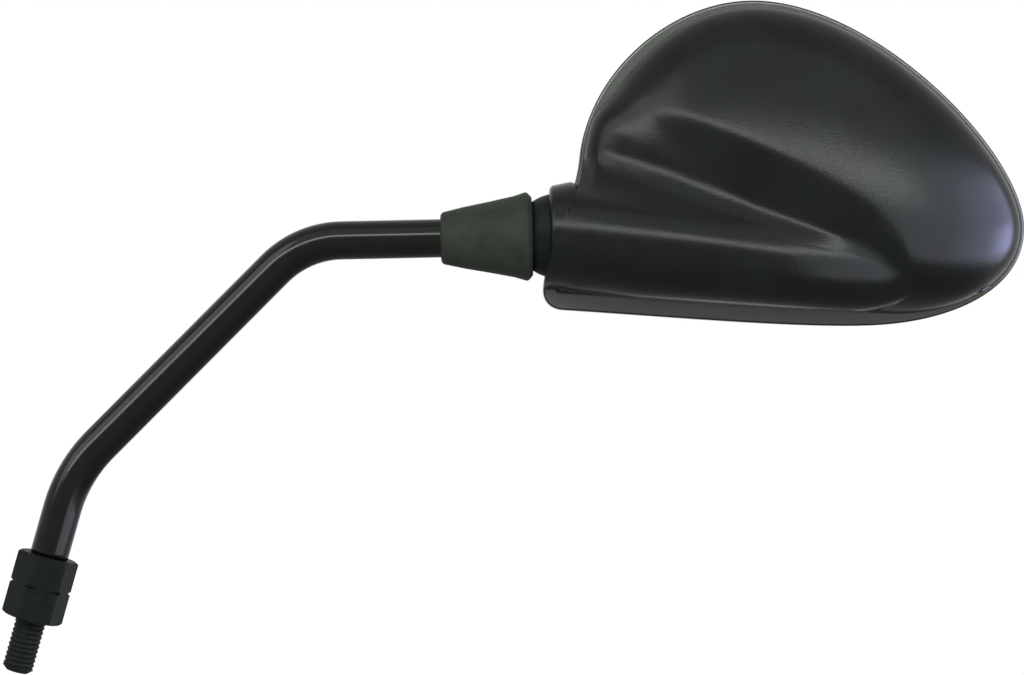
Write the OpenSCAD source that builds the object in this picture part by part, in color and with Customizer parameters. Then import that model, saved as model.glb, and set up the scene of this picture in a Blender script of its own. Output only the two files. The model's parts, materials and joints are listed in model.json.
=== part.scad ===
/* [Mounting stud] */
// Diameter of the stud that screws into the handlebar clamp
stud_d = 8; // [6:0.5:10]
// Length of the stud below its seat
stud_length = 14.2; // [8:0.1:30]
// Chamfer at the free end of the stud
stud_chamfer = 1.2; // [0.4:0.1:1.6]
// Width of the adapter and the lock nut across their flats
hex_af = 14; // [13:0.5:17]
// Height of the adapter
adapter_h = 8.6; // [7:0.1:14]
// Height of the lock nut
nut_h = 8.3; // [4:0.1:12]
// Chamfer on the corners of both hexagons
hex_chamfer = 0.9; // [0.3:0.1:1.4]
// Turn of the hexagons about the stud
hex_turn = 15; // [0:1:59]
// Floor left under the threaded socket of the adapter
socket_floor = 2.5; // [1.5:0.1:4]

/* [Stem] */
// Diameter of the stem
stem_d = 10; // [9:0.5:12]
// Diameter of its threaded foot
foot_d = 8; // [6:0.5:8.5]
// Height of the first corner of the centreline above the seat
leg_1 = 39.6; // [32:0.2:60]
// Length of the middle leg between the two corners
leg_2 = 84.6; // [60:0.2:120]
// Length of the upper leg from the second corner to the ball
leg_3 = 66.2; // [58:0.2:90]
// Angle of the first bend
bend_1 = 29.2; // [15:0.1:40]
// Centreline radius of the first bend
bend_1_radius = 39; // [20:1:45]
// Angle of the second bend
bend_2 = 43.9; // [30:0.1:50]
// Centreline radius of the second bend
bend_2_radius = 25; // [18:1:35]
// Diameter of the shank between the stem and the ball
shank_d = 8; // [7:0.2:8.4]
// Length of the shank, measured from the ball's centre
shank_length = 15; // [13:0.5:18]
// Diameter of the pin that the ball is pressed on
pin_d = 6; // [4:0.5:7]
// Depth of the pin in the ball, past the ball's centre
pin_depth = 2; // [1:0.2:3]

/* [Ball joint] */
// Radius of the ball
ball_r = 7; // [6.6:0.1:7.2]
// Wall of the nylon liner round the ball
liner_wall = 1.4; // [1:0.1:1.6]
// Radius of the round nose of the socket sleeve, and of its barrel
nose_r = 11; // [10.6:0.1:11.2]
// Half angle of the opening in the nose
nose_opening = 49; // [47:0.5:52]
// Half angle of the opening in the liner
liner_opening = 50; // [48:0.5:54]
// Distance from the ball's centre to the open edge of the liner
liner_edge = 0.9; // [0.8:0.1:1.2]
// Start and end of the pressure cup behind the ball's centre
cup_start = 1.5; // [1.4:0.1:2]
cup_end = 9.5; // [9:0.1:11]
// Depth of the spring's pocket in the cup
cup_pocket = 1.5; // [0.8:0.1:1.8]
// Outside diameter of the pressure spring
spring_d = 12.6; // [11:0.1:13.2]
// Diameter of the spring's wire
wire_d = 1.9; // [1.4:0.1:2.2]
// Turns of the spring
spring_turns = 4.5; // [3:0.5:5]
// Thickness of the end cap's plug and of its flange
plug_h = 3.5; // [2:0.1:5]
cap_flange = 1.5; // [1:0.1:3]

/* [Boot] */
// Distance from the ball's centre to the mouth and to the tail of the boot
boot_mouth = 6.3; // [5.9:0.1:6.6]
boot_tail = 30.2; // [26:0.1:36]
// Radius of the boot at its mouth and at its tail
boot_mouth_r = 11.5; // [11.4:0.1:11.8]
boot_tail_r = 6.9; // [6.4:0.1:8]
// Radius of the boot's open cavity
boot_cavity_r = 9.6; // [9.5:0.1:9.9]
// Length of the boot's grip on the stem
boot_grip = 10; // [6:0.5:11]
// Rounding of the boot's edges
boot_round = 1.2; // [0.6:0.1:1.4]

/* [Head outline] */
// Reach of the head beyond the ball's centre
head_reach = 122.7; // [110:0.5:140]
// Height of the crown above the ball's centre, and its place along the head
crown_z = 60.9; // [54:0.5:66]
crown_x = 52; // [46:0.5:60]
// Depth of the lower edge under the ball's centre, and its lowest place
sole_z = 25; // [23:0.5:30]
sole_x = 80; // [74:0.5:86]
// Place of the left wall above the neck
wall_x = 6.6; // [5:0.2:9]
wall_z = 21; // [19:0.5:24]
// Place of the rounded heel under the neck
heel_x = -3.8; // [-6:0.2:-2]
heel_z = -14; // [-15:0.2:-12]
heel_round = 5; // [4:0.2:6]

/* [Housing] */
// Wall thickness of the moulded housing
wall = 2.2; // [1.6:0.1:2.8]
// Depth from the ball's centre plane back to the flange round the dome
flange_y = 6; // [4:0.2:7]
// Rounding of the flange's outer edge
flange_round = 0.7; // [0.4:0.1:0.8]
// Width of the flange at the nose, the crown, the upper left, the left wall and the lower edge
nose_flange = 1.2; // [1:0.1:2]
crown_flange = 1.7; // [1.2:0.1:2.5]
shoulder_flange = 3; // [1.5:0.1:3.5]
wall_flange = 0.9; // [0.9:0.1:1.6]
sole_flange = 4.2; // [3:0.1:4.6]
// Depth of the joint line between housing and bezel
seam_y = 14.5; // [14.3:0.1:15]
// Height of the dome above the flange
dome_h = 26.5; // [20:0.5:30]
// Fullness of the dome, where 2 is an ellipse
dome_power = 1.6; // [1.4:0.05:2]
// Centre of the dome
dome_x = 55; // [50:0.5:62]
dome_z = 0; // [-3:0.5:6]
// Slope of the scoop's floor against the dome at the crisp ridge
scoop_slope = 0.43; // [0.3:0.01:0.6]
// Distance over which that slope fades
scoop_fade = 17; // [10:0.5:30]
// Share of the dome's reach from which the scoop's floor runs on straight
floor_from = 0.5; // [0.4:0.05:0.7]

/* [Neck] */
// Start of the neck in front of the ball's centre
neck_mouth = 1.8; // [1.6:0.1:2]
// Radius of the neck at the ball's centre and its loss per millimetre
neck_r = 13.5; // [13.2:0.1:14]
neck_taper = 0.048; // [0.03:0.002:0.06]
// Fall of the neck's axis per millimetre
neck_fall = 0.139; // [0.1:0.002:0.16]
// Front of the neck at its fullest place, its loss towards the ball, and that place
neck_crest = 21.5; // [19:0.5:24]
neck_drop = 7.5; // [6:0.25:9]
neck_mid = 40; // [36:1:46]
// Radius of the fillet between the neck and the scoop
neck_fillet = 10; // [4:0.5:12]
// Length and edge radius of the collar at the mouth
collar_length = 6.8; // [5:0.2:8]
collar_proud = 0.4; // [0.2:0.1:0.8]
collar_round = 1.5; // [0.6:0.1:1.8]

/* [Glass and bezel] */
// Depth of the bezel's front
bezel_y = 21; // [20.6:0.1:23]
// Thickness and reach of the bezel's lip over the glass
lip_t = 1.6; // [1.2:0.1:2]
lip_reach = 5.6; // [5:0.1:6.6]
// Wall of the bezel and reach of its tongue inside the housing
bezel_wall = 1.8; // [1.4:0.1:2.2]
tongue = 2.2; // [1.6:0.1:2.6]
// Thickness of the mirror glass and radius of its convex face
glass_t = 2; // [1.6:0.1:2.4]
glass_radius = 1200; // [800:50:1600]
// Thickness of the adhesive pad and of the glass carrier
pad_t = 1; // [0.8:0.1:1.4]
carrier_t = 2; // [1.8:0.1:2.4]
// Thickness of the gasket's lip and of its wall
gasket_t = 0.7; // [0.5:0.1:1]
gasket_lip = 1; // [0.6:0.1:1.4]
// Rounding of the bezel's front edge
bezel_round = 1.6; // [0.8:0.1:2.4]

/* [Fasteners] */
// Thread diameter, head diameter and length of the small screws
screw_d = 3; // [2.5:0.1:3.5]
screw_head_d = 5.6; // [5:0.1:6]
carrier_screw_length = 12; // [8:0.5:16]
clamp_screw_length = 6; // [5:0.5:6.5]
// Outside diameter of the pillars that take the screws
pillar_d = 6.6; // [6:0.1:8]
// Thickness of the saddle clamp
clamp_t = 1.4; // [1:0.1:1.6]
// Depth of the clamp's ear
ear_y = 7.6; // [7.2:0.1:8]
// Thickness of the washers
washer_t = 0.6; // [0.4:0.1:0.8]

/* [Hidden] */
$fn = 96;

// Running clearance of the ball joint and of the threads, and the gap of a press fit
fit = 0.05;
press = 0.02;
// Gap between pieces of the head that only rest against each other
seat_gap = 0.15;

// How far a straight stretch of the stem runs into a bend, and how much the bend swells
bend_lap = 0.6;
bend_swell = 0.02;
// Where the stem's shank ends in the ball, as a share of the ball's radius
shank_seat = 0.8;
// Distance from the head's left wall to the saddle clamp, and from there to the sleeve's open end
clamp_gap = 1;
clamp_back = 1.2;
// How far a screw's hole runs past the screw's tip
hole_spare = 0.5;
// Height of the neck's axis over the ball's centre plane at the ball
neck_lift = 0.2;
// Rounding where the scoop's floor meets the dome's foot
floor_blend = 1.5;
// Size of the neck's fillet as a blend, its least share, and the distance over which it dwindles
fillet_gain = 0.8;
fillet_least = 0.15;
fillet_run = 150;
// Share of the dome's reach over which the fillet dies out at its foot, and what is left of it
fillet_end = 0.07;
fillet_rest = 0.02;
// Share of the wall by which the pillars' feet are buried in it
buried = 0.3;

socket_r = ball_r + fit + liner_wall + fit;
// The clamp's screws stand as close as their washers allow, and the clamp is as wide as they need
washer_d = screw_head_d + 0.8;
clamp_pitch = washer_d + 0.6;
clamp_w = clamp_pitch + washer_d - 0.4;
clamp_reach = nose_r + fit + clamp_t + washer_d/2 + seat_gap;
// The clamp sits just inside the head's left wall, and the barrel ends behind it
sleeve_length = wall_x + wall + clamp_gap + clamp_w + clamp_back;
stack_h = adapter_h + nut_h;
elevation = 90 - bend_1 - bend_2;
ball_at = [leg_2*sin(bend_1) + leg_3*cos(elevation), 0,
    leg_1 + leg_2*cos(bend_1) + leg_3*sin(elevation)];
spring_start = cup_end - cup_pocket + 0.3;
spring_end = sleeve_length - plug_h;
clamp_x = sleeve_length - clamp_back - clamp_w/2;
clamp_bite = clamp_screw_length - clamp_t - washer_t;
boss_top = ear_y - fit;

// Where the small pillars of the glass carrier stand: along the head and above the ball
PILLARS = [[38, 40], [93, 18], [66, -14]];

// The rim outline is six cubic curves, clockwise from the nose, each as start, handle, handle, end
nose = [head_reach, 0];
sole = [sole_x, -sole_z];
toe = [heel_x + heel_round, heel_z - heel_round - 0.2];
heel = [heel_x, heel_z];
shoulder = [wall_x, wall_z];
crown = [crown_x, crown_z];
OUTLINE = [
    [nose, nose - [0, 16], sole + [24, 0], sole],
    [sole, sole - [20, 0], toe + [26, -2.2], toe],
    [toe, toe - [3, -0.3], heel - [0, 3], heel],
    [heel, heel + [0, 8], shoulder - [1.4, 12], shoulder],
    [shoulder, shoulder + [2.4, 21], crown - [22, 0], crown],
    [crown, crown + [32, 0], nose + [0, 20], nose]];
// Samples along each of the six curves
STEPS = [12, 12, 4, 8, 14, 18];

// The scoop's crisp ridge, as cubic curves from the left wall round to the neck's underside
RIDGE = [
    [[4, 28], [10, 34.5], [19, 37], [28, 32.2]],
    [[28, 32.2], [50, 22.5], [72, 12], [82, 3]],
    [[82, 3], [90.5, -5], [92, -12.5], [84, -16.5]],
    [[84, -16.5], [78, -19], [66, -20.5], [50, -24]]];

function bezier(p, t) = p[0]*pow(1 - t, 3) + 3*p[1]*t*pow(1 - t, 2)
    + 3*p[2]*t*t*(1 - t) + p[3]*pow(t, 3);
function bezier_slope(p, t) = (p[1] - p[0])*pow(1 - t, 2)
    + 2*(p[2] - p[1])*t*(1 - t) + (p[3] - p[2])*t*t;
function unit(v) = v/norm(v);

// Points of the rim outline, moved inward by inset, with share as the density of samples
function rim(inset = 0, share = 1) = [
    for (c = [0:len(OUTLINE) - 1])
        let (n = max(2, round(STEPS[c]*share)))
        for (i = [0:n - 1])
            let (d = unit(bezier_slope(OUTLINE[c], i/n)))
            bezier(OUTLINE[c], i/n) + inset*[d[1], -d[0]]];

centre = [dome_x, dome_z];

// Distance from the dome's centre to an outline along the direction of point p
function reach(p, outline) =
    let (d = unit(p - centre), n = len(outline))
    max([for (i = [0:n - 1])
        let (a = outline[i] - centre, b = outline[(i + 1)%n] - centre,
            e = b - a, k = d[0]*e[1] - d[1]*e[0],
            s = k == 0 ? -1 : (a[1]*d[0] - a[0]*d[1])/-k,
            r = k == 0 ? 0 : (a[0]*e[1] - a[1]*e[0])/k)
        s >= -0.001 && s <= 1.001 && r > 0 ? r : 0]);

// Width of the flange by the direction from the dome's centre, as pairs of degrees and width
FLANGE = [[0, nose_flange], [60, nose_flange], [100, crown_flange], [135, shoulder_flange],
    [147, wall_flange], [183, wall_flange], [200, sole_flange], [303, sole_flange],
    [342, nose_flange], [360, nose_flange]];
function flange_at(p, i = 0) =
    let (turn = (atan2(p[1] - centre[1], p[0] - centre[0]) + 360)%360)
    turn > FLANGE[i + 1][0] ? flange_at(p, i + 1) :
    let (a = FLANGE[i], b = FLANGE[i + 1], s = (turn - a[0])/(b[0] - a[0]))
    a[1] + (b[1] - a[1])*s*s*(3 - 2*s);

// The dome's foot, which is the rim outline moved inward by the flange's width
function foot(outline) = let (edge = rim(1)) [
    for (i = [0:len(outline) - 1]) outline[i] + flange_at(outline[i])*(edge[i] - outline[i])];

// Depth of the plain dome at share t of the way from its centre to its foot
function dome(t) = flange_y - dome_h*sqrt(max(0, 1 - pow(t, dome_power)));
// The same, running on along its tangent beyond floor_from
function straight_dome(t) =
    let (rate = dome_h*dome_power*pow(floor_from, dome_power - 1)/2/sqrt(1 - pow(floor_from, dome_power)))
    dome(min(t, floor_from)) + rate*max(0, t - floor_from);

// Signed distance of p from the ridge, positive inside the scoop
RIDGE_STEPS = 7;
function ridge_points() = [
    for (c = [0:len(RIDGE) - 1]) for (i = [0:RIDGE_STEPS - 1]) bezier(RIDGE[c], i/RIDGE_STEPS)];
function scoop_distance(p, ridge, i = 0, best = 1000, side = 1) =
    i >= len(ridge) - 1 ? best*side :
    let (a = ridge[i], e = ridge[i + 1] - a, v = p - a,
        s = max(0, min(1, (v*e)/(e*e))),
        d = norm(v - s*e))
    d < best ? scoop_distance(p, ridge, i + 1, d, e[0]*v[1] - e[1]*v[0] < 0 ? 1 : -1)
        : scoop_distance(p, ridge, i + 1, best, side);

// Depth of the neck's bulge at p: a round section with drafted flanks. The upper flank is steeper
// where it comes out of the left wall.
upper_limit = 0.75;
upper_gain = 0.1;
upper_run = 30;
lower_limit = 0.9976;
function neck(p) =
    let (r = neck_r - neck_taper*p[0], q = (p[1] + neck_fall*p[0] - neck_lift)/r,
        c = max(-lower_limit, min(upper_limit + upper_gain*max(0, 1 - p[0]/upper_run), q)),
        over = abs(q - c)*r*abs(c)/sqrt(1 - c*c),
        lean = (p[0] - neck_mid)/neck_mid)
    neck_drop*lean*lean - neck_crest + r*(1 - sqrt(1 - c*c)) + over;

function blend(a, b, k) =
    let (h = max(0, 1 - abs(a - b)/k)) min(a, b) - h*h*k/4;

// Depth of the housing's outer face at p, which lies at share t of the way to the dome's foot
function face(p, t, ridge) =
    let (share = exp(-max(0, scoop_distance(p, ridge))/scoop_fade),
        floor_y = straight_dome(t)*(1 - share) + dome(t)*share + scoop_slope*scoop_fade*(1 - share),
        k = neck_fillet*fillet_gain*max(fillet_least, 1 - p[0]/fillet_run)
            *max(fillet_rest, min(1, (1 - t)/fillet_end)))
    min(flange_y, blend(-blend(-floor_y, -dome(t), floor_blend), neck(p), k));

// How far a sphere of the glass's radius has fallen back at p
glass_centre = [(head_reach + heel_x)/2, (crown_z - sole_z)/2];
function bow(p) = (p - glass_centre)*(p - glass_centre)/2/glass_radius;

// Depth of the convex glass at p, behind its front face by back
glass_front = bezel_y - lip_t - gasket_t;
function glass_y(p, back = 0) = glass_front - back - bow(p);

module at_head() {
    translate(ball_at) rotate([0, -elevation, 0]) children();
}

// Turns a shape made along +Z so that it runs along the head's axis
module along_x(x = 0) {
    translate([x, 0, 0]) rotate([0, 90, 0]) children();
}

// Turns a shape made along +Z so that it runs from depth y towards the glass
module along_y(x, y, z) {
    translate([x, y, z]) rotate([-90, 0, 0]) children();
}

// A closed skin over rings of n points each, with both ends filled by fans or flat caps
module skin(rings, closed = false) {
    n = len(rings[0]);
    m = len(rings);
    points = [for (ring = rings) each ring];
    sides = [for (j = [0:closed ? m - 1 : m - 2]) for (i = [0:n - 1])
        let (a = j*n + i, b = j*n + (i + 1)%n, c = (j + 1)%m*n + (i + 1)%n, d = (j + 1)%m*n + i)
        each [[a, b, c], [a, c, d]]];
    start = [for (i = [n - 1:-1:0]) i];
    end = [for (i = [0:n - 1]) (m - 1)*n + i];
    polyhedron(points, closed ? sides : [each sides, start, end], convexity = 8);
}

function at_depth(points, y) = [for (p = points) [p[0], y, p[1]]];
function bowed(points, y) = [for (p = points) [p[0], y - bow(p), p[1]]];
function shrink(points, s) = [for (p = points) centre + s*(p - centre)];

module hex_body(h) {
    corner_r = hex_af/sqrt(3);
    intersection() {
        rotate(hex_turn) cylinder(r = corner_r, h = h, $fn = 6);
        rotate_extrude() polygon([[0, 0], [corner_r - hex_chamfer, 0],
            [corner_r + 0.2, hex_chamfer*0.6 + 0.12], [corner_r + 0.2, h - hex_chamfer*0.6 - 0.12],
            [corner_r - hex_chamfer, h], [0, h]]);
    }
}

module adapter() {
    color("#202221") difference() {
        union() {
            hex_body(adapter_h);
            translate([0, 0, -stud_length]) {
                cylinder(d1 = stud_d - 2*stud_chamfer, d2 = stud_d, h = stud_chamfer);
                translate([0, 0, stud_chamfer])
                    cylinder(d = stud_d, h = stud_length - stud_chamfer + 1);
            }
        }
        translate([0, 0, socket_floor]) cylinder(d = foot_d + 2*fit, h = adapter_h);
    }
}

module lock_nut() {
    color("#262827") translate([0, 0, adapter_h]) difference() {
        hex_body(nut_h);
        translate([0, 0, -1]) cylinder(d = foot_d + 2*fit, h = nut_h + 2);
    }
}

// A bend of the rod that starts at the origin along +Z and turns towards +X. Bending swells the rod
// by a hair, so the straight stretches can end just inside the bend.
module bend(angle, radius) {
    translate([radius, 0, 0]) rotate([90, 0, 180])
        rotate_extrude(angle = angle) translate([radius, 0]) circle(r = stem_d/2 + bend_swell);
}

// Places what follows at the end of such a bend
module past_bend(angle, radius) {
    translate([radius*(1 - cos(angle)), 0, radius*sin(angle)]) rotate([0, angle, 0]) children();
}

// The rod's foot: thread, shoulder and the straight run up to the first bend
module stem_foot(run) {
    start = stack_h + fit;
    end = run + bend_lap;
    rotate_extrude() polygon([[0, socket_floor + 0.3], [foot_d/2 - 0.5, socket_floor + 0.3],
        [foot_d/2, socket_floor + 0.8], [foot_d/2, start], [stem_d/2 - 0.4, start],
        [stem_d/2, start + 0.4], [stem_d/2, end], [0, end]]);
}

// The rod's head: the straight run, the shank and the pin for the ball
module stem_head(run) {
    shank_end = run + shank_length - ball_r*shank_seat;
    pin_end = run + shank_length + pin_depth;
    rotate_extrude() polygon([[0, -bend_lap], [stem_d/2, -bend_lap], [stem_d/2, run],
        [shank_d/2, run + 1], [shank_d/2, shank_end], [pin_d/2, shank_end],
        [pin_d/2, pin_end], [0, pin_end]]);
}

module stem() {
    cut_1 = bend_1_radius*tan(bend_1/2);
    cut_2 = bend_2_radius*tan(bend_2/2);
    run_2 = leg_2 - cut_1 - cut_2;
    color("#151716") {
        stem_foot(leg_1 - cut_1);
        translate([0, 0, leg_1 - cut_1]) {
            bend(bend_1, bend_1_radius);
            past_bend(bend_1, bend_1_radius) {
                translate([0, 0, -bend_lap]) cylinder(d = stem_d, h = run_2 + 2*bend_lap);
                translate([0, 0, run_2]) {
                    bend(bend_2, bend_2_radius);
                    past_bend(bend_2, bend_2_radius) stem_head(leg_3 - cut_2 - shank_length);
                }
            }
        }
    }
}

module ball() {
    color("#b9bbb8") at_head() difference() {
        sphere(r = ball_r);
        along_x(-ball_r - 1) cylinder(d = pin_d + 2*press, h = ball_r + 1 + pin_depth + press);
        along_x(-ball_r - 1) cylinder(d = shank_d + 2*press, h = ball_r*(1 - shank_seat) + 1 + press);
    }
}

// A corner of a profile rounded by radius r, from direction a to direction b
function arc(c, r, a, b, n = 6) = [for (i = [0:n]) c + r*[cos(a + (b - a)*i/n), sin(a + (b - a)*i/n)]];

module boot() {
    r = boot_round;
    grip_r = stem_d/2 + press;
    profile = concat(
        [[grip_r, -boot_tail]],
        arc([boot_tail_r - r, -boot_tail + r], r, -90, -6),
        arc([boot_mouth_r - r, -boot_mouth - r], r, -6, 90),
        [[boot_cavity_r, -boot_mouth], [boot_cavity_r - 0.4, -boot_tail/2 + 1],
            [stem_d/2 + 1.2, -boot_tail + boot_grip + 2], [grip_r, -boot_tail + boot_grip]]);
    color("#2b2d2b") at_head() along_x() rotate_extrude() polygon(profile);
}

// A ring of a hollow ball between radii a and b, cut off past x = high and opened towards the stem
module ball_shell(a, b, high, opening) {
    difference() {
        sphere(r = b);
        sphere(r = a);
        along_x(high) cylinder(r = b + 1, h = b + 1);
        along_x(-b*1.5) cylinder(r1 = b*1.5*tan(opening), r2 = 0, h = b*1.5);
    }
}

module ball_liner() {
    color("#d9d6cb") at_head()
        ball_shell(ball_r + fit, ball_r + fit + liner_wall, -liner_edge, liner_opening);
}

module pressure_cup() {
    color("#c9c6bb") at_head() difference() {
        along_x(cup_start) cylinder(r = socket_r - fit, h = cup_end - cup_start);
        sphere(r = ball_r + fit);
        along_x(cup_end - cup_pocket) cylinder(d = spring_d + 0.6, h = cup_pocket + 1);
    }
}

module socket_sleeve() {
    color("#8f9291") at_head() difference() {
        union() {
            sphere(r = nose_r);
            along_x() cylinder(r = nose_r, h = sleeve_length);
        }
        sphere(r = socket_r);
        along_x() cylinder(r = socket_r, h = sleeve_length + 1);
        along_x(-nose_r*1.5) cylinder(r1 = nose_r*1.5*tan(nose_opening), r2 = 0, h = nose_r*1.5);
    }
}

module end_cap() {
    color("#9a9d9b") at_head() difference() {
        union() {
            along_x(spring_end) cylinder(r = socket_r - press, h = plug_h + 0.1);
            along_x(sleeve_length) cylinder(r = nose_r, h = cap_flange);
        }
        along_x(sleeve_length + cap_flange - 1.2) cylinder(r = 3.5, h = 3, $fn = 6);
    }
}

module pressure_spring() {
    start = spring_start + wire_d/2;
    rise = spring_end - seat_gap - spring_start - wire_d;
    coil_r = (spring_d - wire_d)/2;
    per_turn = 16;
    steps = round(spring_turns*per_turn);
    // The end turns lie flat, and the turns between them share the rise
    function lift(t) = let (u = min(1, max(0, (t - 0.75)/(spring_turns - 1.5)))) rise*u;
    rings = [for (i = [0:steps])
        let (a = 360*i/per_turn, x = start + lift(i/per_turn))
        [for (j = [0:7]) let (r = coil_r + wire_d/2*cos(45*j + 22.5))
            [x + wire_d/2*sin(45*j + 22.5), r*cos(a), r*sin(a)]]];
    color("#a7aaa8") at_head() skin(rings);
}

// The clamp's section across the barrel: a saddle over the glass side, an ear above and a hook below
module clamp_section() {
    r = nose_r + fit;
    difference() {
        union() {
            circle(r = r + clamp_t);
            translate([0, ear_y]) square([clamp_reach + 3.4, clamp_t]);
        }
        circle(r = r);
        translate([-2*r, -3*r + ear_y]) square([4*r, 3*r]);
    }
}

module saddle_clamp() {
    color("#a5a8a6") at_head() difference() {
        translate([clamp_x + clamp_w/2, 0, 0]) rotate([0, -90, 0]) linear_extrude(clamp_w)
            clamp_section();
        for (s = [-1, 1])
            along_y(clamp_x + s*clamp_pitch/2, ear_y - 1, clamp_reach)
                cylinder(d = screw_d + 0.4, h = clamp_t + 2);
    }
}

module clamp_washers() {
    color("#b4b7b5") at_head() for (s = [-1, 1])
        along_y(clamp_x + s*clamp_pitch/2, ear_y + clamp_t, clamp_reach) difference() {
            cylinder(d = washer_d, h = washer_t);
            translate([0, 0, -1]) cylinder(d = screw_d + 0.4, h = washer_t + 2);
        }
}

// A pan head screw that stands with the underside of its head at the origin, driven towards -Z
module pan_screw(length) {
    difference() {
        union() {
            cylinder(d = screw_head_d, h = 1.4);
            translate([0, 0, 1.4]) cylinder(d1 = screw_head_d, d2 = screw_head_d - 1.6, h = 0.7);
            translate([0, 0, -length]) cylinder(d = screw_d - 0.1, h = length + 0.5);
        }
        translate([0, 0, 1]) cross_recess();
    }
}

module cross_recess() {
    for (a = [0, 90]) rotate(a) translate([-1.5, -0.35, 0]) cube([3, 0.7, 3]);
}

module clamp_screws() {
    color("#c0c2c0") at_head() for (s = [-1, 1])
        along_y(clamp_x + s*clamp_pitch/2, ear_y + clamp_t + washer_t, clamp_reach)
            pan_screw(clamp_screw_length);
}

// Rings of the housing's outer face from the middle out, over the flange and down to the joint line
BODY_RINGS = 17;
module housing_shell() {
    outline = rim();
    ridge = ridge_points();
    base = foot(outline);
    near_edge = rim(flange_round);
    // A point halfway round the flange's edge
    half_round = flange_round*(1 - cos(45));
    over_edge = rim(half_round);
    function ring(points, t) = [for (p = points) [p[0], face(p, t, ridge), p[1]]];
    outer = [for (k = [0:BODY_RINGS])
        let (t = max(0.004, sin(90*k/BODY_RINGS))) ring([for (b = base) centre + t*(b - centre)], t)];
    // On the flange the neck alone stands out, and its flank runs down over the edge
    function lowered(points, y) = [for (p = points)
        let (b = face(p, 1, ridge)) [p[0], b < flange_y - 0.01 ? b : y, p[1]]];
    skirt = at_depth(outline, seam_y);
    inner_edge = at_depth(rim(wall), seam_y);
    inner_wall = at_depth(rim(wall + fit), flange_y + wall + fit);
    // The inner face follows the outer one, moved inward and back by the wall
    function inside(ring) = [for (i = [0:len(ring) - 1])
        let (p = [ring[i][0], ring[i][2]], s = 1 - wall/norm(outline[i] - centre)*1.25,
            q = centre + s*(p - centre))
        [q[0], ring[i][1] + wall, q[1]]];
    inner = [for (k = [BODY_RINGS:-2:1]) inside(outer[k])];
    flipped = [each outer, lowered(near_edge, flange_y), lowered(over_edge, flange_y + half_round),
        lowered(outline, flange_y + flange_round), skirt, inner_edge, inner_wall, each inner];
    skin([for (ring = flipped) [for (i = [len(ring) - 1:-1:0]) ring[i]]]);
}

// A pillar for a screw. Its foot is a cone that follows the slope of the wall and is buried in it.
module pillar(at, top) {
    base = foot(rim());
    ridge = ridge_points();
    function front(p) = face(p, min(1, norm(p - centre)/reach(p, base)), ridge);
    around = [for (a = [0:45:315]) front(at + pillar_d/2*[cos(a), sin(a)])];
    middle = front(at) + wall*buried;
    low = max(around) + wall*buried;
    along_y(at[0], middle, at[1]) cylinder(r1 = 0.8, r2 = pillar_d/2, h = low - middle + 0.01);
    along_y(at[0], low, at[1]) cylinder(d = pillar_d, h = top - low);
}

// The round mouth of the neck, cut back inside the head to let the bezel's tongue pass
module collar() {
    end = collar_length - neck_mouth;
    r_end = neck_r - neck_taper*end + collar_proud + 0.3;
    r_start = neck_r - 0.3;
    difference() {
        along_x() rotate_extrude() polygon(concat(
            [[nose_r - 1, -neck_mouth]],
            arc([r_start - collar_round, -neck_mouth + collar_round], collar_round, -90, -10, 5),
            [[r_end, end - 0.4], [r_end - 0.4, end], [nose_r - 1, end]]));
        translate([0, seam_y + 5, 0]) rotate([90, 0, 0])
            linear_extrude(5 + tongue + seat_gap) polygon(rim(wall));
    }
}

module housing() {
    color("#303331") at_head() difference() {
        union() {
            housing_shell();
            collar();
            for (p = PILLARS) pillar(p, glass_y(p, glass_t + pad_t + carrier_t) - 2*seat_gap);
            for (s = [-1, 1]) pillar([clamp_x + s*clamp_pitch/2, clamp_reach], boss_top);
        }
        along_x(-nose_r) cylinder(r = nose_r + fit, h = nose_r + sleeve_length + cap_flange + seat_gap);
        for (p = PILLARS)
            along_y(p[0], glass_y(p, glass_t + pad_t) - carrier_screw_length - hole_spare, p[1])
                cylinder(d = screw_d, h = carrier_screw_length + 1);
        for (s = [-1, 1])
            along_y(clamp_x + s*clamp_pitch/2, boss_top - clamp_bite - hole_spare, clamp_reach)
                cylinder(d = screw_d, h = clamp_bite + hole_spare + 1);
    }
}

module bezel() {
    r = bezel_round;
    a = wall + seat_gap;
    b = a + bezel_wall;
    // Section points as inset from the rim and depth: the bowed front, then the flat joint and tongue
    front = concat([[b, bezel_y - lip_t], [lip_reach, bezel_y - lip_t],
            [lip_reach, bezel_y - 0.8], [lip_reach - 0.8, bezel_y]],
        [for (t = [90:-22.5:0]) [r*(1 - cos(t)), bezel_y - r + r*sin(t)]]);
    flat = [[0, seam_y + seat_gap], [a, seam_y + seat_gap], [a, seam_y - tongue], [b, seam_y - tongue]];
    color("#2a2d2b") at_head() skin(concat([for (s = front) bowed(rim(s[0]), s[1])],
        [for (s = flat) at_depth(rim(s[0]), s[1])]), closed = true);
}

// A piece of the spherical glass stack: its inset from the rim, and its front and back
module lens_layer(inset, front, back) {
    edge = rim(inset);
    function ring(s, b) = [for (p = shrink(edge, s)) [p[0], glass_y(p, b), p[1]]];
    skin([ring(0.01, front), ring(0.5, front), ring(1, front),
        ring(1, back), ring(0.5, back), ring(0.01, back)]);
}

gasket_inset = wall + seat_gap + bezel_wall + fit;
glass_inset = gasket_inset + gasket_t + fit;

module mirror_glass() {
    color("#b8c4cc") at_head() lens_layer(glass_inset, 0, glass_t);
}

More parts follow.
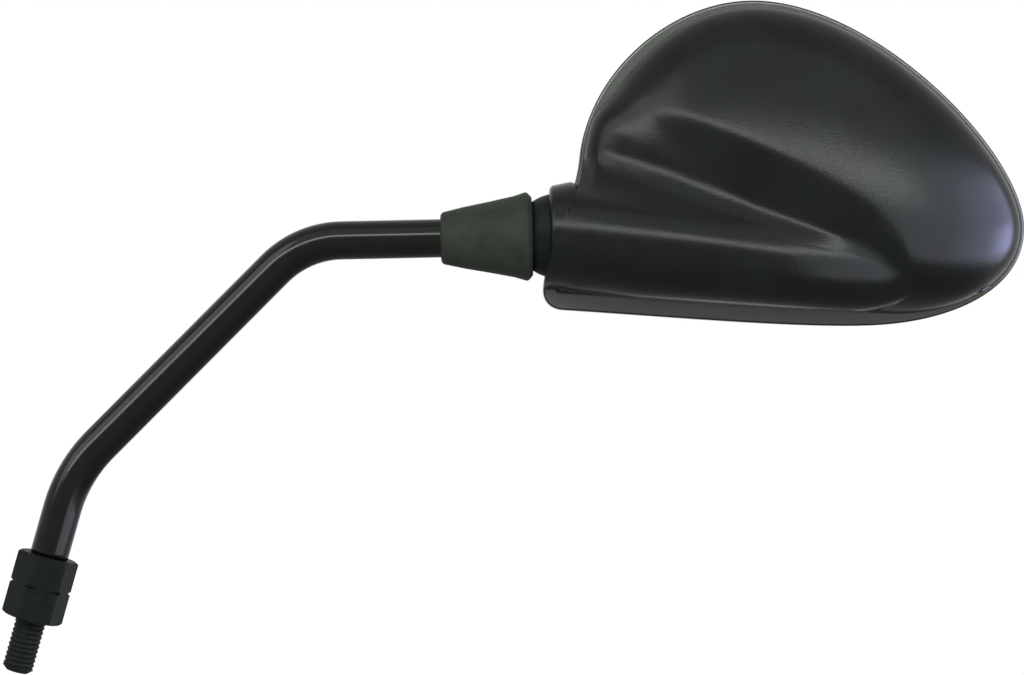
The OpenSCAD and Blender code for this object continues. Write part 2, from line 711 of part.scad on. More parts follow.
// A soft angle section: a wall round the glass's edge and a lip over its front
module gasket() {
    a = gasket_inset;
    b = a + gasket_t;
    c = b + gasket_lip;
    section = [[a, glass_front - glass_t], [b, glass_front - glass_t], [b, glass_front + fit],
        [c, glass_front + fit], [c, bezel_y - lip_t - fit], [a, bezel_y - lip_t - fit]];
    color("#1d1f1e") at_head()
        skin([for (s = section) bowed(rim(s[0]), s[1])], closed = true);
}

module adhesive_pad() {
    color("#5c5f5d") at_head()
        lens_layer(glass_inset + 3, glass_t + seat_gap, glass_t + pad_t - seat_gap);
}

module glass_carrier() {
    color("#3a3d3b") at_head() difference() {
        lens_layer(glass_inset + 0.4, glass_t + pad_t, glass_t + pad_t + carrier_t);
        for (p = PILLARS) {
            along_y(p[0], glass_y(p, glass_t + pad_t + carrier_t) - 2, p[1])
                cylinder(d = screw_d + 0.4, h = carrier_t + 4);
            along_y(p[0], glass_y(p, glass_t + pad_t) - 1.7, p[1])
                cylinder(d1 = screw_d, d2 = screw_head_d + 1.2, h = 2);
        }
    }
}

module carrier_screws() {
    color("#c0c2c0") at_head() for (p = PILLARS)
        along_y(p[0], glass_y(p, glass_t + pad_t) - 0.3, p[1]) difference() {
            union() {
                translate([0, 0, -1.2]) cylinder(d1 = screw_d - 0.1, d2 = screw_head_d, h = 1.2);
                translate([0, 0, -carrier_screw_length])
                    cylinder(d = screw_d - 0.1, h = carrier_screw_length - 0.5);
            }
            translate([0, 0, -0.8]) cross_recess();
        }
}

adapter();
lock_nut();
stem();
ball();
boot();
ball_liner();
pressure_cup();
socket_sleeve();
end_cap();
pressure_spring();
saddle_clamp();
clamp_washers();
clamp_screws();
housing();
bezel();
mirror_glass();
gasket();
adhesive_pad();
glass_carrier();
carrier_screws();
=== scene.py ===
# %% [markdown]
# # A handlebar mirror
# The real object is a bent steel rod with a moulded teardrop head on a ball joint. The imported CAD
# model already holds every piece at its true size, so this lesson only dresses it: it sets up a
# camera and soft lamps, makes the materials, and replaces the few pieces whose faceted solids are
# coarser than the eye would accept with finer meshes of the same shape.

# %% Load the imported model
import json
import math

import bmesh
import bpy
import numpy as np
from mathutils import Matrix, Vector


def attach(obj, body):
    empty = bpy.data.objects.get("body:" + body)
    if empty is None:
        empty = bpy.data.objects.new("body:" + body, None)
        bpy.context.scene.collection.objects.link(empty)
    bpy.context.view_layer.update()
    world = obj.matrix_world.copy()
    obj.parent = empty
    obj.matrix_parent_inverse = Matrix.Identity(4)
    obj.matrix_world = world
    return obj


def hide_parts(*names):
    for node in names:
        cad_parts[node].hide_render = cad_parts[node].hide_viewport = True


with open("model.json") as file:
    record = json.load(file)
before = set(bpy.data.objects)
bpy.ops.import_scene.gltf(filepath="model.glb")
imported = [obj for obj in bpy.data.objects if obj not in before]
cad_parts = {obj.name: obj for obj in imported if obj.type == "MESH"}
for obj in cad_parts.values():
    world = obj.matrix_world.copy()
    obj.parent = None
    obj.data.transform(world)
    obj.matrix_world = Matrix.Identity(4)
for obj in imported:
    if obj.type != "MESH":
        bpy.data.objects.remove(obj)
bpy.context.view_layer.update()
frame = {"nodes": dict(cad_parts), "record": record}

# %% [markdown]
# ## Camera
# The photograph looks at the back of the head from about three quarters of a metre away, with the
# camera level and rolled, so that the stem leans. A long lens keeps the perspective flat. The place
# and roll come from the stem's own lines: its lower leg is upright in the model.

# %% Camera
MM = 0.001
camera_at = Vector((100.5, -740, 104.1)) * MM
camera_roll = math.radians(15.7)
sensor_mm = 36
view_width_mm = 266.2  # how much of the mirror's plane the picture's width takes in
right = Vector((math.cos(camera_roll), 0, math.sin(camera_roll)))
up = Vector((-math.sin(camera_roll), 0, math.cos(camera_roll)))

camera_data = bpy.data.cameras.new("camera")
camera_data.sensor_width = sensor_mm
camera_data.lens = sensor_mm * -camera_at.y / MM / view_width_mm
camera = bpy.data.objects.new("camera", camera_data)
turn = Matrix((right, up, Vector((0, -1, 0)))).transposed()
camera.matrix_world = Matrix.Translation(camera_at) @ turn.to_4x4()
bpy.context.collection.objects.link(camera)
bpy.context.scene.camera = camera
print("lens:", round(camera_data.lens, 1), "mm")

# %% [markdown]
# ## Two helpers for materials
# Colours are written as the sRGB hex values that a paint program shows. Cycles works in linear
# light, so one function turns them. A second one adds a node with its values and links, which
# keeps each material short enough to read.

# %% Colour and node helpers
def linear(code, alpha=1.0):
    """An sRGB hex colour such as "#202020" as linear RGBA."""
    parts = [int(code[i:i + 2], 16) / 255 for i in (1, 3, 5)]
    return (*[p / 12.92 if p <= 0.04045 else ((p + 0.055) / 1.055) ** 2.4 for p in parts], alpha)


def add(tree, kind, values=None, links=None, **settings):
    """Adds a node, sets its properties and input values, and links other nodes' outputs into it."""
    node = tree.nodes.new("ShaderNode" + kind)
    for name, value in settings.items():
        setattr(node, name, value)
    for name, value in (values or {}).items():
        node.inputs[name].default_value = value
    for name, socket in (links or {}).items():
        tree.links.new(socket, node.inputs[name])
    return node


def new_material(name, **values):
    """A material with one Principled shader. Values are its sockets' names with _ for a space."""
    material = bpy.data.materials.new(name)
    material.use_nodes = True
    tree = material.node_tree
    tree.nodes.clear()
    shader = add(tree, "BsdfPrincipled", {k.replace("_", " "): v for k, v in values.items()})
    add(tree, "OutputMaterial", links={"Surface": shader.outputs["BSDF"]})
    return material, tree, shader


# %% [markdown]
# ## Floor, world and lamps
# The photograph's background is pure white. The floor and the world are white to every ray that
# looks at them, which is the camera's and those that gloss and glass send out, and they light the
# object at a plain level. Near the object the floor glows less, so its shadow stays.
#
# One soft strip lights the head from in front and above. The cards are reflectors: each shows in
# the gloss as a pale or violet patch and adds no other light.

# %% Floor and world
floor_at = (0.12, 0, -400 * MM)
floor_size = 16.0
floor_white = 0.82
glow_near, glow_far = (1.0, 0.1), (2.0, 0.9)  # metres from the floor's middle, strength there
world_light = 0.15  # the world as a lamp, where 1 is the white that it shows


def seen_rays(tree):
    """1 for camera, glossy and transmission rays, 0 for the rest."""
    path = add(tree, "LightPath")
    first = add(tree, "Math", operation="MAXIMUM",
                links={0: path.outputs["Is Camera Ray"], 1: path.outputs["Is Glossy Ray"]})
    return add(tree, "Math", operation="MAXIMUM",
               links={0: first.outputs[0], 1: path.outputs["Is Transmission Ray"]}).outputs[0]


def white_floor():
    material = bpy.data.materials.new("white floor")
    material.use_nodes = True
    tree = material.node_tree
    tree.nodes.clear()
    spot = add(tree, "TexCoord").outputs["Object"]
    away = add(tree, "VectorMath", operation="LENGTH", links={0: spot})
    glow = add(tree, "MapRange", {"From Min": glow_near[0], "To Min": glow_near[1],
                                  "From Max": glow_far[0], "To Max": glow_far[1]},
               {"Value": away.outputs["Value"]}, interpolation_type="SMOOTHSTEP")
    strength = add(tree, "Math", operation="MULTIPLY",
                   links={0: glow.outputs[0], 1: seen_rays(tree)})
    matt = add(tree, "BsdfDiffuse", {"Color": (floor_white,) * 3 + (1,)})
    light = add(tree, "Emission", links={"Strength": strength.outputs[0]})
    both = add(tree, "AddShader", links={0: matt.outputs[0], 1: light.outputs[0]})
    add(tree, "OutputMaterial", links={"Surface": both.outputs[0]})
    return material


bpy.ops.mesh.primitive_plane_add(size=floor_size, location=floor_at)
floor = bpy.context.object
floor.name = "floor"
floor.data.materials.append(white_floor())

world = bpy.data.worlds.new("studio")
world.use_nodes = True
bpy.context.scene.world = world
tree = world.node_tree
tree.nodes.clear()
level = add(tree, "MapRange", {"To Min": world_light, "To Max": 1.0}, {"Value": seen_rays(tree)})
sky = add(tree, "Background", {"Color": (1, 1, 1, 1)}, {"Strength": level.outputs[0]})
add(tree, "OutputWorld", links={"Surface": sky.outputs[0]})
bpy.context.scene.view_settings.view_transform = "Standard"
print("floor at", floor_at[2], "world", world_light)

# %% Lamps
aim = Vector((160, 0, 160)) * MM


def soft_lamp(name, way, distance, width, height, watts, colour, along, card):
    """An area lamp that faces the head from that direction, slid along the picture's width."""
    data = bpy.data.lights.new(name, "AREA")
    data.shape = "RECTANGLE"
    data.size, data.size_y = width, height
    data.energy = watts
    data.color = linear(colour)[:3]
    lamp = bpy.data.objects.new(name, data)
    back = Vector(way).normalized()
    side = (right - back * right.dot(back)).normalized()
    lamp.matrix_world = (Matrix.Translation(aim + back * distance + side * along)
                         @ Matrix((side, back.cross(side), back)).transposed().to_4x4())
    lamp.visible_camera = False
    lamp.visible_diffuse = not card
    bpy.context.collection.objects.link(lamp)
    return lamp


front = Vector((0, -1, 0))


def towards(turn, rise):
    """The direction that many degrees right of the camera's and above it."""
    turn, rise = math.radians(turn), math.radians(rise)
    flat = front * math.cos(turn) + right * math.sin(turn)
    return flat * math.cos(rise) + up * math.sin(rise)


# The key rises by twice the lean of the faces that shine most.
for name, turn, rise, distance, width, height, watts, colour, along, card in [
        ("key strip", 0, 26, 1.5, 3.2, 0.22, 37, "#f9fffa", -0.4, False),
        ("card overhead", 0, 52, 1.5, 2.6, 0.95, 9, "#f6fff8", 0.1, True),
        ("card on the left", -62, 27, 1.1, 0.8, 0.5, 5, "#f9fffa", 0, True),
        ("card on the right", 68, 0, 1.1, 1.72, 1.3, 31, "#eef2ff", 0, True),
        ("window on the right", 82, 0, 1.1, 1.0, 1.1, 18, "#b4b8ff", 0, True),
        ("window's core", 92, -8, 1.1, 0.4, 0.5, 8, "#c4c8ff", 0, True)]:
    lamp = soft_lamp(name, towards(turn, rise), distance, width, height, watts, colour, along, card)
    print(name, "at", [round(v, 2) for v in lamp.location])

# %% [markdown]
# ## Moulded and soft materials
# Each finish starts from what the real one is. Textures are laid out in the object's own metres, so
# that a grain keeps its size: Blender's noise has about one grain per unit of scale, and a scale of
# 1000 over the grain in millimetres gives that grain. Nothing here knows where the camera stands.

# %% Pattern helpers
def grain(tree, size_mm, detail=2.0, roughness=0.5):
    """A noise pattern whose grains are about that many millimetres across."""
    spot = add(tree, "TexCoord").outputs["Object"]
    return add(tree, "TexNoise",
               {"Scale": 1000 / size_mm, "Detail": detail, "Roughness": roughness},
               {"Vector": spot})


def two_tones(tree, pattern, dark, light, low=0.35, high=0.65):
    """A colour that goes from dark to light as the pattern goes from low to high."""
    ramp = add(tree, "ValToRGB", links={"Fac": pattern.outputs["Fac"]})
    ramp.color_ramp.elements[0].position = low
    ramp.color_ramp.elements[0].color = linear(dark)
    ramp.color_ramp.elements[1].position = high
    ramp.color_ramp.elements[1].color = linear(light)
    return ramp.outputs["Color"]


def between(tree, pattern, low, high):
    """A number that goes from low to high with the pattern."""
    node = add(tree, "MapRange", {"From Min": 0.3, "From Max": 0.7, "To Min": low, "To Max": high},
               {"Value": pattern.outputs["Fac"]})
    return node.outputs[0]


def raised(tree, pattern, height_mm):
    """A bump of that height."""
    return add(tree, "Bump", {"Strength": 1.0, "Distance": height_mm * MM},
               {"Height": pattern.outputs["Fac"]}).outputs["Normal"]


# %% Black ABS from a spark-eroded mould
# The mould's texture leaves pits well under a tenth of a millimetre deep. They scatter the lamp
# into a wide, soft sheen and let almost nothing shine at a right angle, so the specular level is
# low. The flange's flat face is a plain land, glossier than the rest; its paler colour is a painted
# sheen.
land_from, land_to = (5.8 * MM, 5.95 * MM), (6.03 * MM, 6.15 * MM)  # depths of its two edges


def textured_abs():
    material, tree, shader = new_material("black ABS, spark-eroded texture", Roughness=0.22)
    spot = add(tree, "TexCoord").outputs["Object"]
    depth = add(tree, "SeparateXYZ", links={"Vector": spot}).outputs["Y"]
    begun = add(tree, "MapRange", {"From Min": land_from[0], "From Max": land_from[1]},
                {"Value": depth})
    land_and_painted_sheen = add(tree, "MapRange", {"From Min": land_to[0], "From Max": land_to[1], "To Max": 0.0},
               {"Value": depth, "To Min": begun.outputs[0]})
    cloud = grain(tree, 14, detail=3)
    pits = grain(tree, 0.55, detail=2, roughness=0.6)  # half a millimetre, coarse enough to show
    # The land's paler tone is a painted sheen on the flange's face; its higher specular level is
    # real gloss.
    tone = add(tree, "MixRGB", {"Color2": linear("#3a3d38")},
               {"Fac": land_and_painted_sheen.outputs[0], "Color1": two_tones(tree, cloud, "#0c0f0d", "#111512")})
    shine = add(tree, "MapRange", {"To Min": 0.12, "To Max": 0.62}, {"Value": land_and_painted_sheen.outputs[0]})
    tree.links.new(tone.outputs["Color"], shader.inputs["Base Color"])
    tree.links.new(shine.outputs[0], shader.inputs["Specular IOR Level"])
    tree.links.new(between(tree, grain(tree, 5, detail=4), 0.21, 0.25), shader.inputs["Roughness"])
    tree.links.new(raised(tree, pits, 0.035), shader.inputs["Normal"])
    return material


# %% Boot rubber, gasket rubber and the pad
# Moulded rubber is duller than plastic and a little lighter, with a faint bloom on its surface.
def moulded_rubber(name="moulded EPDM rubber", dark="#292d27", light="#31352e"):
    material, tree, shader = new_material(name, Roughness=0.58, Specular_IOR_Level=0.06)
    bloom = grain(tree, 6, detail=4, roughness=0.6)
    skin = grain(tree, 0.7, detail=3)
    tree.links.new(two_tones(tree, bloom, dark, light), shader.inputs["Base Color"])
    tree.links.new(between(tree, bloom, 0.54, 0.62), shader.inputs["Roughness"])
    tree.links.new(raised(tree, skin, 0.03), shader.inputs["Normal"])
    return material


# %% Natural nylon and the carrier's plastic
# Nylon is milky: light goes in a little way, so it gets some subsurface scattering.
def natural_nylon():
    material, tree, shader = new_material(
        "natural nylon, moulded", Roughness=0.38, Subsurface_Weight=0.25, Subsurface_Scale=0.001)
    tone = grain(tree, 4, detail=2)
    tree.links.new(two_tones(tree, tone, "#d2cdbd", "#ddd9cc"), shader.inputs["Base Color"])
    tree.links.new(raised(tree, grain(tree, 1.2), 0.01), shader.inputs["Normal"])
    return material


def carrier_plastic():
    material, tree, shader = new_material(
        "black polypropylene, moulded", Roughness=0.5, Specular_IOR_Level=0.25)
    tone = two_tones(tree, grain(tree, 9), "#1c1e1d", "#232524")
    tree.links.new(tone, shader.inputs["Base Color"])
    tree.links.new(raised(tree, grain(tree, 0.8), 0.02), shader.inputs["Normal"])
    return material


# %% [markdown]
# ## Painted and plated steel, and the mirror
# The stem's paint levels out before it sets, so it is smooth but for a faint orange peel. The
# hexagons are blackened steel, which is dull. Zinc and ground steel are metals: their colour is
# their reflection, so they are metallic and keep the default IOR.

# %% Steel and paint
def gloss_paint():
    material, tree, shader = new_material(
        "gloss black paint on steel", Roughness=0.15, Specular_IOR_Level=0.16)
    peel = grain(tree, 2.2, detail=1)
    dust = grain(tree, 7, detail=5, roughness=0.65)
    tree.links.new(two_tones(tree, dust, "#050706", "#080a09"), shader.inputs["Base Color"])
    tree.links.new(between(tree, dust, 0.13, 0.17), shader.inputs["Roughness"])
    tree.links.new(raised(tree, peel, 0.004), shader.inputs["Normal"])
    return material


def blackened_steel():
    material, tree, shader = new_material(
        "blackened steel, oiled", Roughness=0.46, Specular_IOR_Level=0.04)
    blotch = grain(tree, 3.5, detail=4, roughness=0.6)
    tree.links.new(two_tones(tree, blotch, "#131615", "#191d1b"), shader.inputs["Base Color"])
    tree.links.new(between(tree, blotch, 0.4, 0.52), shader.inputs["Roughness"])
    tree.links.new(raised(tree, grain(tree, 0.5, detail=3), 0.012), shader.inputs["Normal"])
    return material


def zinc_plate():
    material, tree, shader = new_material("zinc-plated steel", Metallic=1.0, Roughness=0.34)
    spangle = grain(tree, 2.5, detail=3)
    tree.links.new(two_tones(tree, spangle, "#a9adae", "#c3c5c1"), shader.inputs["Base Color"])
    tree.links.new(between(tree, spangle, 0.28, 0.4), shader.inputs["Roughness"])
    tree.links.new(raised(tree, grain(tree, 0.4), 0.006), shader.inputs["Normal"])
    return material


def ground_steel():
    material, tree, shader = new_material("ground steel", Metallic=1.0, Roughness=0.16)
    haze = grain(tree, 1.6, detail=4)
    tree.links.new(two_tones(tree, haze, "#b8baba", "#c8c9c8"), shader.inputs["Base Color"])
    tree.links.new(between(tree, haze, 0.13, 0.2), shader.inputs["Roughness"])
    return material


def silvered_glass():
    """Glass over a silver film: the film's mirror under a clear coat."""
    material, tree, shader = new_material(
        "silvered glass", Metallic=1.0, Roughness=0.015, Coat_Weight=0.6, Coat_Roughness=0.01)
    haze = grain(tree, 30, detail=2)
    tree.links.new(two_tones(tree, haze, "#dbe1e5", "#e2e7ea"), shader.inputs["Base Color"])
    return material


finishes = {
    "textured_abs": textured_abs(),
    "gloss_paint": gloss_paint(),
    "black_steel": blackened_steel(),
    "soft_rubber": moulded_rubber(),
    "nylon": natural_nylon(),
    "zinc_steel": zinc_plate(),
    "bright_steel": ground_steel(),
    "silvered_glass": silvered_glass(),
    "pad_rubber": moulded_rubber("adhesive foam pad", "#4b4e4c", "#5a5d5b"),
    "carrier_plastic": carrier_plastic()}

for part in frame["record"]["subparts"]:
    node = frame["nodes"][part["node"]]
    for slot in node.material_slots:
        slot.material = finishes[part["material_slot"]]
print("finishes:", len(finishes))

# %% [markdown]
# ## The head's surfaces
# The head is drawn in its own frame: x runs from the ball's centre along the head, z up across it
# and y back towards the glass. The rim is six cubic curves, and one function gives the housing's
# depth at any point inside it: a dome, minus a scoop with a crisp ridge, blended with the neck.
# These are the values of the part's source, sampled far more finely. Only a few differ, where the
# coarse solid fell short of the object: the ridge's left end and its rounding, the fillet in the
# valley, and the neck's lower flank and far end.

# %% The rim
ball_centre = Vector((104.614, 0, 132.693)) * MM
head_rise = math.radians(16.9)
head_frame = Matrix.Translation(ball_centre) @ Matrix.Rotation(-head_rise, 4, "Y")

head_reach, crown, sole = 122.7, (52, 60.9), (80, -25)
heel, heel_round, shoulder = (-3.8, -14), 5, (6.6, 21)


def cubic(points, t):
    a, b, c, d = [np.array(p, float) for p in points]
    t = np.asarray(t, float)[:, None]
    return a * (1 - t) ** 3 + 3 * b * t * (1 - t) ** 2 + 3 * c * t * t * (1 - t) + d * t ** 3


def around(point, handle_in, handle_out):
    """A corner of the rim with the handles on either side of it."""
    p = np.array(point, float)
    return p + handle_in, p, p + handle_out


toe_sag = 0.2
CURVE_STEPS, RIM_SAMPLES, RIDGE_STEPS = 400, 440, 24
toe = (heel[0] + heel_round, heel[1] - heel_round - toe_sag)
corners = [  # each with its handles before and after it
    around((head_reach, 0), (0, 20), (0, -16)),
    around(sole, (24, 0), (-20, 0)),
    around(toe, (26, -2.2), (-3, 0.3)),
    around(heel, (0, -3), (0, 8)),
    around(shoulder, (-1.4, -12), (2.4, 21)),
    around(crown, (-22, 0), (32, 0))]


def rim_points(count):
    """Points evenly spaced along the rim, clockwise from the nose."""
    line = []
    for here, there in zip(corners, corners[1:] + corners[:1]):
        curve = (here[1], here[2], there[0], there[1])
        line.append(cubic(curve, np.linspace(0, 1, CURVE_STEPS)[:-1]))
    line = np.vstack(line + [line[0][:1]])
    run = np.concatenate([[0], np.cumsum(np.linalg.norm(np.diff(line, axis=0), axis=1))])
    at = np.linspace(0, run[-1], count + 1)[:-1]
    return np.stack([np.interp(at, run, line[:, i]) for i in (0, 1)], axis=1)


rim = rim_points(RIM_SAMPLES)
tangent = np.roll(rim, -1, axis=0) - np.roll(rim, 1, axis=0)
tangent /= np.linalg.norm(tangent, axis=1)[:, None]
inward = np.stack([tangent[:, 1], -tangent[:, 0]], axis=1)
print("rim length:", round(float(np.linalg.norm(np.diff(rim, axis=0), axis=1).sum()), 1), "mm")

# %% The depth of the housing
dome_centre = np.array([55.0, 0.0])
flange_y = 6
flange_widths = [(0, 1.2), (60, 1.2), (100, 1.7), (135, 3), (147, 0.9), (183, 0.9), (200, 4.2),
                 (303, 4.2), (342, 1.2), (360, 1.2)]  # direction in degrees, width
dome_h, dome_power = 26.5, 1.6
scoop_slope, scoop_fade, ridge_soft = 0.43, 17, 1.3
floor_from, floor_blend = 0.5, 1.5  # the scoop's floor is straight from this share of the dome
neck_r, neck_taper, neck_fall, neck_lift = 13.5, 0.048, 0.139, 0.2
neck_crest, neck_drop, neck_mid = 21.5, 7.5, 40
neck_end, neck_tip, tip_least = 72, 20, 0.001  # from its end the neck narrows over its tip
neck_skirt, skirt_run = 1.2, 20  # what the lower flank gains in radius, and over what length
neck_fillet, fillet_gain, fillet_run = 10, 0.95, 150
fillet_least, fillet_end, fillet_last = 0.15, 0.07, 0.02
# Shares of the radius beyond which the flanks run down straight
upper_limit, upper_gain, upper_run, lower_limit = 0.75, 0.1, 30, 0.9976

ridge_curves = [
    [(4, 30), (10, 36.5), (19, 38.5), (28, 33)],
    [(28, 33), (50, 22.5), (72, 12), (82, 3)],
    [(82, 3), (90.5, -5), (92, -12.5), (84, -16.5)],
    [(84, -16.5), (78, -19), (66, -20.5), (50, -24)]]
ridge = np.vstack([cubic(c, np.linspace(0, 1, RIDGE_STEPS)[:-1]) for c in ridge_curves])


def scoop_distance(p):
    """Signed distance of points from the ridge, positive inside the scoop."""
    best = np.full(len(p), np.inf)
    side = np.ones(len(p))
    for a, b in zip(ridge, ridge[1:]):
        e = b - a
        v = p - a
        s = np.clip(v @ e / (e @ e), 0, 1)
        d = np.linalg.norm(v - s[:, None] * e, axis=1)
        nearer = d < best
        best = np.where(nearer, d, best)
        side = np.where(nearer, np.where(e[0] * v[:, 1] - e[1] * v[:, 0] < 0, 1, -1), side)
    return best * side


def flange_at(p):
    """Width of the flange at rim points, eased between the values of the table."""
    turn = np.degrees(np.arctan2(p[:, 1] - dome_centre[1], p[:, 0] - dome_centre[0])) % 360
    width = np.zeros(len(p))
    for (a, low), (b, high) in zip(flange_widths, flange_widths[1:]):
        s = np.clip((turn - a) / (b - a), 0, 1)
        width = np.where((turn >= a) & (turn <= b), low + (high - low) * s * s * (3 - 2 * s), width)
    return width


foot = rim + flange_at(rim)[:, None] * inward


def dome(t):
    """The dome's depth at share t of the way from its centre to its foot."""
    return flange_y - dome_h * np.sqrt(np.maximum(0, 1 - t ** dome_power))


def straight_dome(t):
    """The dome's depth, running on along its tangent beyond floor_from."""
    root = math.sqrt(1 - floor_from ** dome_power)
    rate = dome_h * dome_power * floor_from ** (dome_power - 1) / 2 / root
    return dome(np.minimum(t, floor_from)) + rate * np.maximum(0, t - floor_from)


def tip(p):
    """1 along the neck, falling to almost 0 at its rounded far end."""
    past = np.maximum(0, p[:, 0] - neck_end) / neck_tip
    return np.sqrt(np.maximum(tip_least, 1 - past ** 2))


def neck(p):
    """Depth of the neck's drafted, round front, with flanks that run down to the flange."""
    x = p[:, 0]
    r = (neck_r - neck_taper * x) * tip(p)
    q = p[:, 1] + neck_fall * x - neck_lift
    q = np.where(q > 0, q / r, q / (r + neck_skirt * np.clip(x / skirt_run, 0, 1)))
    c = np.clip(q, -lower_limit, upper_limit + upper_gain * np.maximum(0, 1 - x / upper_run))
    bulge = np.sqrt(1 - c * c)
    over = np.abs(q - c) * r * np.abs(c) / bulge
    lean = (x - neck_mid) / neck_mid
    return neck_drop * lean ** 2 - neck_crest + r * (1 - bulge) + over


def blend(a, b, k):
    """The lesser of two depths, with a fillet of size k where they meet."""
    h = np.maximum(0, 1 - np.abs(a - b) / k)
    return np.minimum(a, b) - h * h * k / 4


def face(p, t):
    """Depth of the housing's outer face at points p, at share t of the way to the dome's foot."""
    d = scoop_distance(p)
    inside = (d + np.sqrt(d * d + ridge_soft ** 2)) / 2
    plain = dome(t)
    share = np.exp(-inside / scoop_fade)
    floor_y = (straight_dome(t) * (1 - share) + plain * share
               + scoop_slope * scoop_fade * (1 - share))
    scoop = -blend(-floor_y, -plain, floor_blend)
    k = (neck_fillet * fillet_gain * np.maximum(fillet_least, 1 - p[:, 0] / fillet_run) * tip(p)
         * max(fillet_last, min(1, (1 - t) / fillet_end)))
    return np.minimum(flange_y, blend(scoop, neck(p), k))


# %% [markdown]
# ## Skins from rings
# Most of the head's pieces are rings of points joined by quads. This helper closes their ends with
# fans, turns millimetres in the head's frame into metres in the row's, marks the edges that are
# sharp on the real moulding, and puts the piece on its body.

# %% Mesh helpers
def ring_mesh(name, rings, loop=False):
    """A mesh over rings of n points each, in millimetres. Its ends are closed, or else joined."""
    n = len(rings[0])
    points = np.vstack(rings)
    faces = []
    last = len(rings) if loop else len(rings) - 1
    for j in range(last):
        k = (j + 1) % len(rings)
        for i in range(n):
            m = (i + 1) % n
            faces.append((j * n + i, j * n + m, k * n + m, k * n + i))
    if not loop:
        faces.append(tuple(range(n - 1, -1, -1)))
        faces.append(tuple(range((len(rings) - 1) * n, len(rings) * n)))
    mesh = bpy.data.meshes.new(name)
    mesh.from_pydata([tuple(p * MM) for p in points], [], faces)
    tidy = bmesh.new()
    tidy.from_mesh(mesh)
    bmesh.ops.recalc_face_normals(tidy, faces=tidy.faces)
    if tidy.calc_volume(signed=True) < 0:
        bmesh.ops.reverse_faces(tidy, faces=tidy.faces)
    tidy.to_mesh(mesh)
    tidy.free()
    return mesh


def smooth(mesh, angle=32):
    """Smooth shading with hard edges where faces meet at more than the angle."""
    mesh.polygons.foreach_set("use_smooth", [True] * len(mesh.polygons))
    mesh.set_sharp_from_angle(angle=math.radians(angle))


def place(name, mesh, body, slot, stands_for=None, angle=32, in_head=True):
    """Makes the piece's object, moves it into the row's frame and puts it on its body."""
    if in_head:
        mesh.transform(head_frame)
    smooth(mesh, angle)
    piece = bpy.data.objects.new(name, mesh)
    bpy.context.collection.objects.link(piece)
    mesh.materials.append(finishes[slot])
    if stands_for:
        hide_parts(stands_for)
    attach(piece, body)
    print(name, len(mesh.polygons), "faces")
    return piece


def at_depth(points, y):
    """Outline points with a depth added, as x, y, z."""
    return np.stack([points[:, 0], np.broadcast_to(y, len(points)), points[:, 1]], axis=1)


# %% The housing
# The skin runs from the dome's centre out over the face and the flange's rounded edge, back along
# the rim to the seam, and inside again at the wall's thickness.
wall, flange_round, flange_lead, seam_y, recess_y = 2.2, 0.7, 0.1, 14.5, 8.3
wall_lean = 1.25  # the wall is measured square to the dome, which leans
nose_r, sleeve_length, fit, bore_room = 11, 24, 0.05, 1.65
mouth_end, proud = 3, 0.01  # before this x the neck's flank may stand out over the flange
FACE_RINGS, INNER_STEP, first_share = 96, 6, 0.002


def housing_mesh():
    def ring(t):
        p = dome_centre + t * (foot - dome_centre)
        front = face(p, t)
        return at_depth(p, np.where((t == 1) & (p[:, 0] > mouth_end), flange_y, front))

    def lowered(inset, y):
        """A ring over the flange's edge, where only the neck's flank stands out."""
        p = rim + inset * inward
        front = face(p, 1.0)
        over = (front < flange_y - proud) & (p[:, 0] < mouth_end)
        return at_depth(p, np.where(over, front, y))

    outer = [ring(max(first_share, math.sin(a)))
             for a in np.linspace(0, math.pi / 2, FACE_RINGS + 1)]
    outer.append(lowered(flange_round + flange_lead, flange_y))
    for a in np.radians([0, 18, 36, 54, 72, 90]):
        outer.append(lowered(flange_round * (1 - math.sin(a)),
                             flange_y + flange_round * (1 - math.cos(a))))
    outer.append(at_depth(rim, seam_y))
    inner = [at_depth(rim + wall * inward, seam_y), at_depth(rim + (wall + fit) * inward, recess_y)]
    far = np.linalg.norm(rim - dome_centre, axis=1)
    share = (1 - wall / far * wall_lean)[:, None]
    for r in outer[FACE_RINGS:0:-INNER_STEP]:
        p = np.stack([r[:, 0], r[:, 2]], axis=1)
        inner.append(at_depth(dome_centre + share * (p - dome_centre), r[:, 1] + wall))
    return ring_mesh("housing", outer + inner)


def cut(mesh, cutter):
    """Takes the cutter's volume out of the mesh. Both are in the same millimetre frame."""
    pair = [bpy.data.objects.new(m.name, m) for m in (mesh, cutter)]
    for thing in pair:
        bpy.context.collection.objects.link(thing)
    boolean = pair[0].modifiers.new("cut", "BOOLEAN")
    boolean.operation, boolean.object, boolean.solver = "DIFFERENCE", pair[1], "EXACT"
    bpy.context.view_layer.update()
    result = bpy.data.meshes.new_from_object(
        pair[0].evaluated_get(bpy.context.evaluated_depsgraph_get()))
    for thing in pair:
        bpy.data.objects.remove(thing)
    return result


def rod_mesh(name, r, start, end, sides=128):
    """A plain cylinder about the head's x axis."""
    turn = np.linspace(0, 2 * math.pi, sides, endpoint=False)
    return ring_mesh(name, [np.stack([np.full(sides, x), r * np.cos(turn), r * np.sin(turn)], 1)
                            for x in (start, end)])


bore = rod_mesh("bore", nose_r + fit, -nose_r, sleeve_length + bore_room)
housing = cut(housing_mesh(), bore)
place("housing_shell", housing, "head", "textured_abs", "housing", angle=38)

# %% [markdown]
# ## The lathe-turned pieces
# The collar and the boot are round about the head's axis, so each is a profile of radius against
# place along the axis, turned through a full circle.

# %% Lathe helper
def arc(centre, r, start, end, steps=10):
    """Points on an arc, as (radius, place) pairs, angles in degrees."""
    return [(centre[0] + r * math.cos(math.radians(start + (end - start) * i / steps)),
             centre[1] + r * math.sin(math.radians(start + (end - start) * i / steps)))
            for i in range(steps + 1)]


